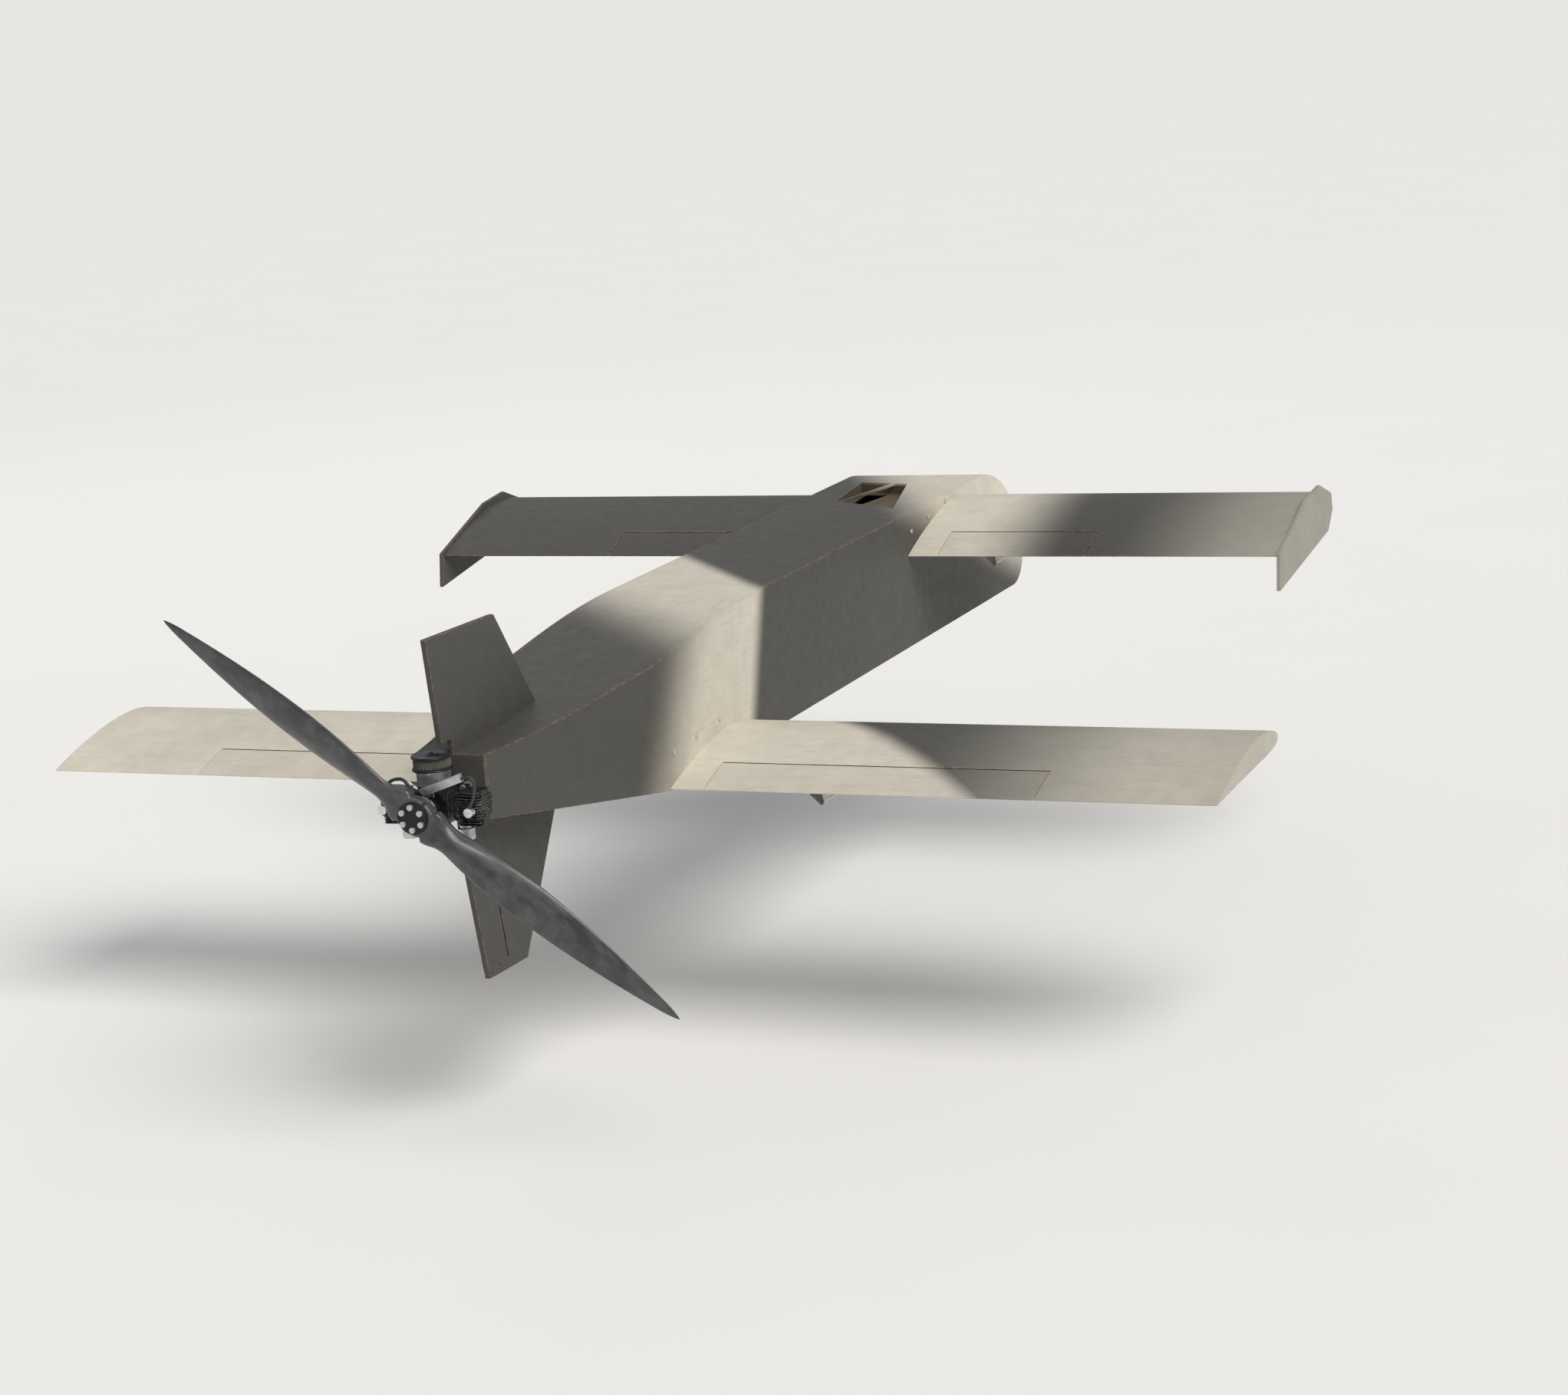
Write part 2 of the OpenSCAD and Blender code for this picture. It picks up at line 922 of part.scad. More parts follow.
// Opposed pair of barrels inside flat fins that lie along the air flow
module cylinders() {
  barrel_x = case_r + 6;
  plate_t = 2;
  color(black)
    both_sides() {
      rod_x([barrel_x, cyl_y, crank_z], 21, head_x - barrel_x - 2);
      for (z = [-fin_r : fin_pitch : fin_r - plate_t])
        translate([0, 0, crank_z + z])
          linear_extrude(plate_t)
            fin_outline(abs(z) > 18 ? 4 : 0);
      translate([head_x - 22, cyl_y - 12, crank_z - fin_r])
        cube([20, 24, 2 * fin_r - fin_pitch / 2]);
    }
}

// One fin in plan, drawn as (X, Y), with cut corners and pulled in near the top and bottom
module fin_outline(pull) {
  polygon([
    [fins_x, cyl_y - 22 + pull],
    [head_x - 6 - pull, cyl_y - 25 + pull],
    [head_x - pull, cyl_y - 19],
    [head_x - pull, cyl_y + 19],
    [head_x - 6 - pull, cyl_y + 25 - pull],
    [fins_x, cyl_y + 22 - pull]
  ]);
}

module spark_plugs() {
  plug_y = cyl_y + 25;
  color(steel)
    both_sides() {
      rod_y([plug_x, plug_y, crank_z], 6, 4);
      rod_y([plug_x, plug_y + 4, crank_z], 8, 12);
    }
}

module exhaust_stubs() {
  color(alloy)
    both_sides()
      translate([stub_x, cyl_y + 2, crank_z - 54])
        difference() {
          union() {
            cylinder(h = 19, r = 14);
            translate([0, 0, 14])
              cylinder(h = 54 - fin_r - 14, r = 10);
          }
          translate([0, 0, -1])
            cylinder(h = 17, r = 11.5);
        }
}

// Slanted alloy case on a foot at the back of the crankcase, over the starboard cylinder
module ignition_module() {
  color(alloy) {
    translate([-14, case_end, crank_z + 20.5])
      cube([14, 3, 12]);
    translate([2, case_end + 3, crank_z + 24])
      rotate([0, 20, 0])
        translate([-80, 0, 0])
          cube([80, 10, 14]);
  }
}

module carburettor() {
  color(alloy)
    difference() {
      union() {
        translate([-20, cyl_y - 22, carb_z])
          cube([40, 42, carb_h - 4]);
        translate([0, cyl_y, carb_z + carb_h - 4])
          cylinder(h = 4, r = 24);
      }
      rod_x([lever_x - 15, lever_y, lever_z], 2 + run, 20);
    }
}

module air_filter() {
  color(black)
    translate([0, cyl_y, filter_z]) {
      cylinder(h = 4, r = filter_r);
      cylinder(h = filter_h, r = filter_r - 3);
      translate([0, 0, filter_h - 5])
        cylinder(h = 5, r = filter_r);
    }
}

module throttle_lever() {
  color(steel) {
    along_x(lever_x, 2.5)
      translate([lever_y, lever_z])
        arm_shape(lever_len);
    rod_x([lever_x - 12, lever_y, lever_z], 2, 12);
  }
}

module throttle_arm() {
  color(black)
    along_x(throttle_arm_x, 3)
      translate([throttle_y, lever_z])
        arm_shape(lever_len);
}

module throttle_rod() {
  pin_z = lever_z - lever_len;
  color(steel) {
    rod_y([throttle_rod_x, throttle_y, pin_z], rod_r, lever_y - throttle_y);
    rod_x([throttle_rod_x, throttle_y, pin_z], rod_r, throttle_arm_x + 3 - throttle_rod_x);
    rod_x([lever_x, lever_y, pin_z], rod_r, throttle_rod_x - lever_x);
    for (y = [throttle_y, lever_y])
      translate([throttle_rod_x, y, pin_z])
        sphere(rod_r);
  }
}

module prop_shaft() {
  color(steel) {
    rod_y([0, flange_y + 10, crank_z], shaft_r, hub_y - flange_y - 10);
    difference() {
      rod_y([0, hub_y, crank_z], 27, hub_t);
      prop_bolt_points()
        rod_y([0, hub_y - 1, 0], 3, hub_t + 2);
    }
  }
}

module prop_bolt_points() {
  for (i = [0 : 5])
    rotate_about_crank(60 * i + 30)
      translate([19, 0, crank_z])
        children();
}

module rotate_about_crank(a) {
  translate([0, 0, crank_z])
    rotate([0, a, 0])
      translate([0, 0, -crank_z])
        children();
}

module prop_bolts() {
  color(steel) {
    difference() {
      rod_y([0, prop_y + prop_t, crank_z], 27, 4);
      prop_bolt_points()
        rod_y([0, prop_y + prop_t - 1, 0], 3, 6);
    }
    prop_bolt_points() {
      rod_y([0, hub_y, 0], 3, hub_t + prop_t + 4);
      rod_y([0, prop_y + prop_t + 4, 0], 5, 5);
    }
  }
}

// Blade: chord, thickness and pitch angle along the radius
prop_r = prop_d / 2;
blade_n = 12;
ring_n = 14;
// The blade root starts outside the clamping plates
blade_in = 0.053;
function blade_s(i) = blade_in + (1 - blade_in) * i / blade_n;
function blade_chord(s) = s < 0.1 ? 34 : 34 + 34 * sin(180 * min(1, (s - 0.1) / 0.9) ^ 0.75) - 26 * s ^ 3;
function blade_thick(s) = 20 * (1 - s) ^ 1.4 + 2.4;
function blade_pitch(s) = atan(0.42 / (0.35 + 2.6 * s));
function ring_point(i, k) =
  let (
    s = blade_s(i),
    a = 360 * k / ring_n,
    c = blade_chord(s) / 2 * cos(a),
    t = blade_thick(s) / 2 * sin(a),
    p = blade_pitch(s)
  )
  [s * prop_r, c * sin(p) + t * cos(p), c * cos(p) - t * sin(p)];

module blade() {
  points = [for (i = [0 : blade_n]) for (k = [0 : ring_n - 1]) ring_point(i, k)];
  sides = [for (i = [0 : blade_n - 1]) for (k = [0 : ring_n - 1])
    let (a = i * ring_n + k, b = i * ring_n + (k + 1) % ring_n)
    each [[a, b, a + ring_n], [b, b + ring_n, a + ring_n]]];
  root = [[for (k = [ring_n - 1 : -1 : 0]) k]];
  tip = [[for (k = [0 : ring_n - 1]) blade_n * ring_n + k]];
  polyhedron(points = points, faces = concat(sides, root, tip));
}

module propeller() {
  color(black)
    difference() {
      union() {
        rod_y([0, prop_y, crank_z], 31, prop_t);
        for (turn = [0, 180])
          rotate_about_crank(-prop_rest + turn)
            translate([0, prop_y + prop_t / 2, crank_z])
              blade();
      }
      prop_bolt_points()
        rod_y([0, prop_y - 1, 0], 3, prop_t + 2);
    }
}

// ---- Fuel ----

module fuel_tank() {
  color([0.86, 0.86, 0.82])
    difference() {
      union() {
        translate([-tank[0] / 2, -tank[1] / 2, tank_z])
          cube(tank);
        rod_x([tank[0] / 2 - 1, 0, filler_z], filler_r, half_w - tank[0] / 2 + 1);
      }
      translate([-tank[0] / 2 + 3, -tank[1] / 2 + 3, tank_z + 3])
        cube([tank[0] - 6, tank[1] - 6, tank[2] - 6]);
      rod_x([tank[0] / 2 - 5, 0, filler_z], filler_r - 3, half_w);
    }
}

module fuel_cap() {
  color(black) {
    rod_x([half_w, 0, filler_z], filler_r + 4, 9);
    for (i = [0 : 11])
      translate([half_w, 0, filler_z])
        rotate([30 * i, 0, 0])
          rod_x([0, filler_r + 4, 0], 1.6, 9);
  }
}

module fuel_line() {
  start = tank[1] / 2;
  color(black)
    rod_y([fuel_x, start, fuel_z], fuel_r, cyl_y - 22 - start);
}

// ---- Equipment ----

module avionics_tray() {
  color(birch)
    difference() {
      translate([-120, frame_ys[1] + ply, tray_z])
        cube([240, frame_ys[2] - frame_ys[1] - ply, tray_t]);
      for (x = [-tray_dx, tray_dx])
        for (y = [-tray_dy, tray_dy])
          translate([x, tray_y + y, tray_z - 1])
            cylinder(h = tray_t + 2, r = tray_hole_r);
    }
}

module autopilot() {
  color(blue) {
    translate([-45, -520, tray_z + tray_t])
      cube([90, 62, 26]);
    translate([-35, -540, tray_z + tray_t])
      cube([70, 20, 10]);
  }
}

module battery() {
  color(black)
    translate([-35, -420, tray_z + tray_t])
      cube([70, 160, 50]);
}

module power_switch() {
  color(black)
    translate(switch_at)
      difference() {
        cube([12, switch_l, switch_h], center = true);
        cylinder(h = switch_h + 2, r = switch_pin_r + run, center = true);
        for (y = [-switch_l / 2 + 5 : 2 : -5])
          translate([5.5, y, 0])
            cube([2, 0.8, switch_h], center = true);
      }
}

side_panel_left();
side_panel_right();
belly_panel();
top_deck();
nose_cap();
firewall();
fuselage_frames();
inlet_tray();
equipment_hatch();
hatch_latch();
rear_wing_left();
rear_wing_right();
front_wing_left();
front_wing_right();
spar_tubes();
front_tip_plates();
root_screws();
hinge_pins();
flight_servos();
rear_elevon_left();
rear_elevon_right();
front_elevon_left();
front_elevon_right();
rear_horn_left();
rear_horn_right();
front_horn_left();
front_horn_right();
rear_servo_arm_left();
rear_servo_arm_right();
front_servo_arm_left();
front_servo_arm_right();
rear_pushrod_left();
rear_pushrod_right();
front_pushrod_left();
front_pushrod_right();
upper_fin();
lower_fin();
rudder();
rudder_shaft();
crankcase();
cylinders();
spark_plugs();
carburettor();
throttle_lever();
air_filter();
exhaust_stubs();
ignition_module();
engine_posts();
prop_shaft();
propeller();
prop_bolts();
throttle_arm();
throttle_rod();
fuel_tank();
fuel_cap();
fuel_line();
avionics_tray();
autopilot();
battery();
power_switch();
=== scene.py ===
"""Looks for the tandem-wing drone: materials, finer pieces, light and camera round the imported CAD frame."""

import json
import math

import bmesh
import bpy
from mathutils import Matrix, Vector


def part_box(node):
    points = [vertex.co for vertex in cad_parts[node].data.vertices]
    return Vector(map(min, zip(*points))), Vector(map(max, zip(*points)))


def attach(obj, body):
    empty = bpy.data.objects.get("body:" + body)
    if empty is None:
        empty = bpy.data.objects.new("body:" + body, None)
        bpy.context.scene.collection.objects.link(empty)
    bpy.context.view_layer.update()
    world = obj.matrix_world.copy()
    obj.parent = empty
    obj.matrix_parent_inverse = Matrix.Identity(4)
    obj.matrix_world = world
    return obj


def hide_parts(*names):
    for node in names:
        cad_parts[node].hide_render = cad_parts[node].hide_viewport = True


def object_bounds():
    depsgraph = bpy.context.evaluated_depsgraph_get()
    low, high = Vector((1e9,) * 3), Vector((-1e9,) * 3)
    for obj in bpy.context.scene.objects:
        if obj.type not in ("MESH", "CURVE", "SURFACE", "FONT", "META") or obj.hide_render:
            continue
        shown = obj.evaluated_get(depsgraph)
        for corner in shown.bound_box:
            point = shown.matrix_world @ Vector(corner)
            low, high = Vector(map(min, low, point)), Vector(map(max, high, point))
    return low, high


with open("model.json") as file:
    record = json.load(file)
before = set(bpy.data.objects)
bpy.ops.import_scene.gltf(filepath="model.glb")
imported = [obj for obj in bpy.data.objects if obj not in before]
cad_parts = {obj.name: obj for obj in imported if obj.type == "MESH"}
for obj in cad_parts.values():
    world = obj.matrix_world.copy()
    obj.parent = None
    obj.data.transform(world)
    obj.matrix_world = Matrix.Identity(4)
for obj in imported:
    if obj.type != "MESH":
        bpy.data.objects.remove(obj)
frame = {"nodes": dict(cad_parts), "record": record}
cad_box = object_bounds()
nodes = frame["nodes"]
scene = bpy.context.scene

MM = 0.001


# ---- Node material helpers ----


class Shader:
    """A Principled material and short calls for wiring procedural detail into it."""

    def __init__(self, name, base=(0.5, 0.5, 0.5), rough=0.5, metal=0.0):
        self.mat = bpy.data.materials.new(name)
        self.mat.use_nodes = True
        self.tree = self.mat.node_tree
        self.bsdf = self.tree.nodes["Principled BSDF"]
        self.bsdf.inputs["Base Color"].default_value = (*base, 1)
        self.bsdf.inputs["Roughness"].default_value = rough
        self.bsdf.inputs["Metallic"].default_value = metal
        self.mat.diffuse_color = (*base, 1)
        self.coord = self.add("ShaderNodeTexCoord").outputs["Object"]
        self.height = None

    def add(self, kind, **settings):
        node = self.tree.nodes.new(kind)
        for key, value in settings.items():
            setattr(node, key, value)
        return node

    def link(self, a, b):
        self.tree.links.new(a, b)

    def stretched(self, scale):
        """Object coordinates scaled per axis, in metres."""
        node = self.add("ShaderNodeMapping")
        node.inputs["Scale"].default_value = scale
        self.link(self.coord, node.inputs["Vector"])
        return node.outputs[0]

    def noise(self, scale, detail=4.0, rough=0.55, stretch=(1, 1, 1), distort=0.0):
        node = self.add("ShaderNodeTexNoise")
        node.inputs["Scale"].default_value = scale
        node.inputs["Detail"].default_value = detail
        node.inputs["Roughness"].default_value = rough
        node.inputs["Distortion"].default_value = distort
        self.link(self.stretched(stretch), node.inputs["Vector"])
        return node.outputs["Fac"]

    def wave(self, scale, direction="X", distort=0.0, detail=2.0, stretch=(1, 1, 1)):
        node = self.add("ShaderNodeTexWave", bands_direction=direction)
        node.inputs["Scale"].default_value = scale
        node.inputs["Distortion"].default_value = distort
        node.inputs["Detail"].default_value = detail
        self.link(self.stretched(stretch), node.inputs["Vector"])
        return node.outputs["Fac"]

    def cells(self, scale, stretch=(1, 1, 1)):
        node = self.add("ShaderNodeTexVoronoi")
        node.inputs["Scale"].default_value = scale
        self.link(self.stretched(stretch), node.inputs["Vector"])
        return node.outputs["Distance"]

    def ramp(self, source, stops):
        """Maps a value through grey or colour stops given as (place, value)."""
        node = self.add("ShaderNodeValToRGB")
        ramp = node.color_ramp
        while len(ramp.elements) < len(stops):
            ramp.elements.new(0.5)
        for element, (place, value) in zip(ramp.elements, stops):
            element.position = place
            rgb = value if isinstance(value, tuple) else (value,) * 3
            element.color = (*rgb, 1)
        self.link(source, node.inputs["Fac"])
        return node.outputs["Color"]

    def math(self, kind, a, b):
        node = self.add("ShaderNodeMath", operation=kind)
        for socket, value in zip(node.inputs, (a, b)):
            if isinstance(value, (int, float)):
                socket.default_value = value
            else:
                self.link(value, socket)
        return node.outputs[0]

    def mix(self, share, a, b):
        """Blends two colours; a share of 0 gives the first and 1 the second."""
        node = self.add("ShaderNodeMix", data_type="RGBA")
        for socket, value in ((node.inputs[0], share), (node.inputs[6], a), (node.inputs[7], b)):
            if isinstance(value, (int, float)):
                socket.default_value = value
            elif isinstance(value, tuple):
                socket.default_value = (*value, 1)
            else:
                self.link(value, socket)
        return node.outputs[2]

    def front(self, direction, start, end):
        """Rises from 0 to 1 over the places whose distance along direction runs from start to end."""
        dot = self.add("ShaderNodeVectorMath", operation="DOT_PRODUCT")
        dot.inputs[1].default_value = direction
        self.link(self.coord, dot.inputs[0])
        ruler = self.add("ShaderNodeMapRange", interpolation_type="SMOOTHSTEP")
        ruler.inputs["From Min"].default_value = start
        ruler.inputs["From Max"].default_value = end
        self.link(dot.outputs["Value"], ruler.inputs["Value"])
        return ruler.outputs[0]

    def edge(self, radius):
        """1 on sharp edges within radius, 0 on flats."""
        bevel = self.add("ShaderNodeBevel", samples=4)
        bevel.inputs["Radius"].default_value = radius
        geometry = self.add("ShaderNodeNewGeometry")
        dot = self.add("ShaderNodeVectorMath", operation="DOT_PRODUCT")
        self.link(bevel.outputs[0], dot.inputs[0])
        self.link(geometry.outputs["Normal"], dot.inputs[1])
        return self.ramp(self.math("SUBTRACT", 1.0, dot.outputs["Value"]), [(0.02, 0.0), (0.12, 1.0)])

    def bump(self, source, depth):
        """Adds a height in metres to the surface."""
        node = self.add("ShaderNodeBump")
        node.inputs["Distance"].default_value = depth
        node.inputs["Strength"].default_value = 1.0
        self.link(source, node.inputs["Height"])
        if self.height is not None:
            self.link(self.height, node.inputs["Normal"])
        self.height = node.outputs[0]
        self.link(self.height, self.bsdf.inputs["Normal"])

    def set(self, name, source):
        if isinstance(source, (int, float)):
            self.bsdf.inputs[name].default_value = source
        else:
            self.link(source, self.bsdf.inputs[name])


# ---- Materials ----

# Cream is the paint's lit tone; the dark grey below is the same paint as painted shade.
CREAM = (0.70, 0.655, 0.56)
SHADE_GREY = (0.060, 0.059, 0.054)
BIRCH = (0.62, 0.46, 0.27)
BARE_EDGE = (0.46, 0.35, 0.21)
# How far the propeller's bolt heads stand out of their plate
HEAD_PROUD = 4.8 * MM


def body_light_patches(s):
    """How much painted sunlight the fuselage gets: a slanting painted sunlit band ahead of the tail taper and
    a painted sunlit patch over the nose; elsewhere painted shade grey.
    """
    ahead = s.front((1.0, 1.0, 0.35), 0.25, 0.31)
    behind = s.front((0.72, 1.0, 0.5), 0.80, 0.54)
    nose = s.front((1.58, 1.0, -2.5), -1.18, -1.50)
    return s.math("MAXIMUM", s.math("MULTIPLY", ahead, behind), nose)


def wing_light_patches(s):
    """How much painted sunlight the wings get: a painted sunlit patch round the starboard roots and paler
    painted light on the rear panels; the rest is painted shade grey.
    """
    rear = s.front((0, 1, 0), 0.0, 0.1)
    root = s.front((0.857, 1.0, 0), 0.13, 0.20)
    port = s.front((1, 0, 0), 0.25, 0.70)
    tip = s.math("MULTIPLY", s.front((1, 0, 0), -0.55, -1.05), 0.75)
    rear_share = s.math("MAXIMUM", s.math("MAXIMUM", s.math("MULTIPLY", port, 0.8), tip), root)
    front_root = s.math("MULTIPLY", s.front((1, 0, 0), -0.48, -0.26), s.front((1, 0, 0), 0.0, -0.1))
    front_tip = s.math("MULTIPLY", s.front((1, 0, 0), -0.55, -0.92), 0.45)
    front_share = s.math("MAXIMUM", front_root, front_tip)
    near = s.math("MULTIPLY", s.math("SUBTRACT", 1.0, rear), front_share)
    return s.math("ADD", s.math("MULTIPLY", rear, rear_share), near)


def all_painted_shade(s):
    """No painted sunlight at all: the part is painted shade grey all over."""
    return 0.0


def paint(name, light_patches, grain=(1, 0.05, 1), tone=1.0):
    """Matt paint over plywood: cream where painted sunlight falls and dark grey painted shade elsewhere,
    mottled by noise; grain, grime and rubbed edges.
    """
    s = Shader(name, CREAM, 0.55)
    # The cream share is painted sunlight broken up by noise; the grey left over is painted shade.
    patch_mottle = s.ramp(s.noise(9, 5, 0.6), [(0.2, 0.86), (0.6, 1.0)])
    share = s.math("MULTIPLY", light_patches(s), patch_mottle)
    colour = s.mix(share, tuple(c * tone for c in SHADE_GREY), tuple(c * tone for c in CREAM))
    cloud = s.ramp(s.noise(1.3, 4, 0.55), [(0.3, 0.0), (0.72, 0.16)])
    colour = s.mix(cloud, colour, (0.15, 0.145, 0.13))
    mottle = s.ramp(s.noise(26, 6, 0.65), [(0.42, 0.0), (0.75, 0.14)])
    colour = s.mix(mottle, colour, (0.13, 0.125, 0.11))
    grain_lines = s.noise(190, 6, 0.7, grain)
    colour = s.mix(s.ramp(grain_lines, [(0.50, 0.0), (0.72, 0.16)]), colour, (0.09, 0.08, 0.06))
    pores = s.noise(900, 3, 0.6, tuple(g * 0.6 if g < 1 else g for g in grain))
    colour = s.mix(s.ramp(pores, [(0.60, 0.0), (0.72, 0.22)]), colour, (0.04, 0.035, 0.028))
    speck = s.ramp(s.cells(120), [(0.0, 1.0), (0.05, 0.0)])
    gate = s.ramp(s.noise(6, 3), [(0.56, 0.0), (0.66, 0.7)])
    colour = s.mix(s.math("MULTIPLY", speck, gate), colour, (0.035, 0.032, 0.027))
    broken = s.ramp(s.noise(90, 6, 0.75), [(0.46, 0.0), (0.56, 0.6)])
    colour = s.mix(s.math("MULTIPLY", s.edge(0.003), broken), colour, BARE_EDGE)
    s.set("Base Color", colour)
    s.set("Roughness", s.ramp(s.noise(40, 5, 0.6), [(0.3, 0.50), (0.7, 0.64)]))
    s.set("Specular IOR Level", 0.3)
    s.bump(grain_lines, 0.00005)
    s.bump(pores, 0.00005)
    s.bump(s.noise(700, 2), 0.00003)
    s.bump(s.noise(2.2, 2), 0.0004)
    return s.mat


def bare_plywood(name="bare_plywood", recess_shade=0.0):
    """Birch face grain with ply lines; recess_shade darkens it towards near-black brown as painted shade
    inside a deep recess.
    """
    s = Shader(name, BIRCH, 0.6)
    grain = s.noise(90, 8, 0.7, (1, 1, 0.06), 0.6)
    colour = s.mix(s.ramp(grain, [(0.35, 0.0), (0.7, 1.0)]), (0.70, 0.54, 0.34), (0.48, 0.33, 0.18))
    rings = s.wave(14, "X", 7, 3, (1, 1, 0.10))
    colour = s.mix(s.math("MULTIPLY", rings, 0.25), colour, (0.42, 0.28, 0.14))
    plies = s.wave(330, "Y")
    colour = s.mix(s.math("MULTIPLY", plies, 0.22), colour, (0.30, 0.19, 0.10))
    s.set("Base Color", s.mix(recess_shade, colour, (0.035, 0.026, 0.018)))
    s.set("Roughness", s.ramp(grain, [(0.3, 0.5), (0.8, 0.7)]))
    s.bump(grain, 0.0001)
    return s.mat


def steel():
    s = Shader("steel", (0.74, 0.75, 0.76), 0.3, 1.0)
    brush = s.noise(500, 4, 0.6, (0.08, 1, 1))
    s.set("Base Color", s.mix(s.noise(40, 3), (0.86, 0.86, 0.86), (0.60, 0.60, 0.61)))
    s.set("Roughness", s.ramp(brush, [(0.3, 0.20), (0.7, 0.42)]))
    s.bump(brush, 0.00001)
    return s.mat


def cast_alloy():
    s = Shader("cast_alloy", (0.50, 0.51, 0.53), 0.45, 1.0)
    grit = s.noise(900, 3, 0.7)
    soot = s.ramp(s.noise(28, 5, 0.65), [(0.45, 0.0), (0.75, 0.75)])
    s.set("Base Color", s.mix(soot, (0.60, 0.61, 0.63), (0.16, 0.15, 0.14)))
    s.set("Roughness", s.ramp(s.noise(60, 4), [(0.3, 0.32), (0.7, 0.58)]))
    s.bump(grit, 0.00008)
    return s.mat


def black_alloy():
    s = Shader("black_alloy", (0.025, 0.025, 0.027), 0.38, 0.6)
    worn = s.math("MULTIPLY", s.edge(0.0008), s.ramp(s.noise(120, 4, 0.7), [(0.42, 0.0), (0.58, 1.0)]))
    dust = s.ramp(s.noise(22, 5), [(0.45, 0.0), (0.8, 0.5)])
    colour = s.mix(dust, (0.022, 0.022, 0.024), (0.085, 0.08, 0.075))
    s.set("Base Color", s.mix(worn, colour, (0.60, 0.60, 0.60)))
    s.set("Roughness", s.ramp(s.noise(80, 4), [(0.3, 0.28), (0.7, 0.5)]))
    s.bump(s.noise(1100, 2), 0.00005)
    return s.mat


def carbon():
    s = Shader("carbon_tube", (0.03, 0.03, 0.033), 0.25)
    weave = s.wave(260, "DIAGONAL", 0.5)
    s.set("Base Color", s.mix(weave, (0.018, 0.018, 0.02), (0.06, 0.06, 0.065)))
    s.set("Coat Weight", 0.6)
    s.bump(weave, 0.00004)
    return s.mat


def hub_plate():
    """Black anodised clamping plate whose bolt heads, which stand proud of it, are bright steel."""
    s = Shader("hub_plate", (0.03, 0.03, 0.032), 0.35, 0.8)
    split = s.add("ShaderNodeSeparateXYZ")
    s.link(s.coord, split.inputs[0])
    face_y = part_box("prop_bolts")[1].y - HEAD_PROUD
    heads = s.math("GREATER_THAN", split.outputs["Y"], face_y)
    brush = s.noise(300, 4)
    s.set("Base Color", s.mix(heads, (0.03, 0.03, 0.032), (0.55, 0.55, 0.56)))
    s.set("Roughness", s.ramp(brush, [(0.3, 0.28), (0.7, 0.48)]))
    s.bump(brush, 0.00003)
    return s.mat


def blade_composite():
    """Dark moulded blade: faint fibre streaks under a satin coat, scuffed edges."""
    s = Shader("propeller_composite", (0.045, 0.045, 0.048), 0.3)
    fibre = s.noise(160, 6, 0.6, (0.15, 1, 0.15), 0.3)
    colour = s.mix(s.ramp(fibre, [(0.4, 0.0), (0.7, 1.0)]), (0.035, 0.035, 0.037), (0.085, 0.085, 0.088))
    scuff = s.math("MULTIPLY", s.edge(0.002), s.ramp(s.noise(150, 4), [(0.45, 0.0), (0.6, 0.9)]))
    s.set("Base Color", s.mix(scuff, colour, (0.26, 0.26, 0.25)))
    s.set("Roughness", s.ramp(s.noise(45, 4), [(0.3, 0.26), (0.7, 0.42)]))
    s.set("Coat Weight", 0.25)
    s.bump(fibre, 0.00004)
    return s.mat


def moulded(name, base, rough=0.45):
    """Moulded plastic with a fine spark-eroded texture and rubbed high spots."""
    s = Shader(name, base, rough)
    light = tuple(min(1, c + 0.06) for c in base)
    s.set("Base Color", s.mix(s.ramp(s.noise(35, 5), [(0.4, 0.0), (0.8, 1.0)]), base, light))
    s.set("Roughness", s.ramp(s.noise(60, 3), [(0.3, rough - 0.08), (0.7, rough + 0.12)]))
    s.bump(s.cells(1500), 0.00003)
    return s.mat


def filter_gauze():
    s = Shader("filter_gauze", (0.16, 0.15, 0.13), 0.6, 0.4)
    grid = s.math("MULTIPLY", s.wave(420, "Z"), s.wave(420, "DIAGONAL"))
    colour = s.mix(s.ramp(grid, [(0.15, 0.0), (0.5, 1.0)]), (0.03, 0.03, 0.03), (0.34, 0.32, 0.28))
    s.set("Base Color", colour)
    s.bump(grid, 0.0002)
    return s.mat


def rubber():
    s = Shader("hose_rubber", (0.02, 0.02, 0.02), 0.6)
    s.set("Base Color", s.mix(s.noise(60, 4), (0.016, 0.016, 0.016), (0.05, 0.05, 0.048)))
    s.bump(s.noise(700, 3), 0.00004)
    return s.mat


def tank_plastic():
    s = Shader("tank_plastic", (0.78, 0.77, 0.70), 0.35)
    s.set("Base Color", s.mix(s.noise(8, 3), (0.80, 0.79, 0.72), (0.68, 0.66, 0.56)))
    s.set("Subsurface Weight", 0.2)
    s.bump(s.noise(25, 2), 0.0004)
    return s.mat


def blue_case():
    s = Shader("blue_case", (0.04, 0.10, 0.24), 0.35, 0.9)
    s.set("Base Color", s.mix(s.noise(50, 4), (0.035, 0.09, 0.22), (0.06, 0.14, 0.30)))
    s.bump(s.noise(1200, 2, 0.6, (0.1, 1, 1)), 0.00002)
    return s.mat


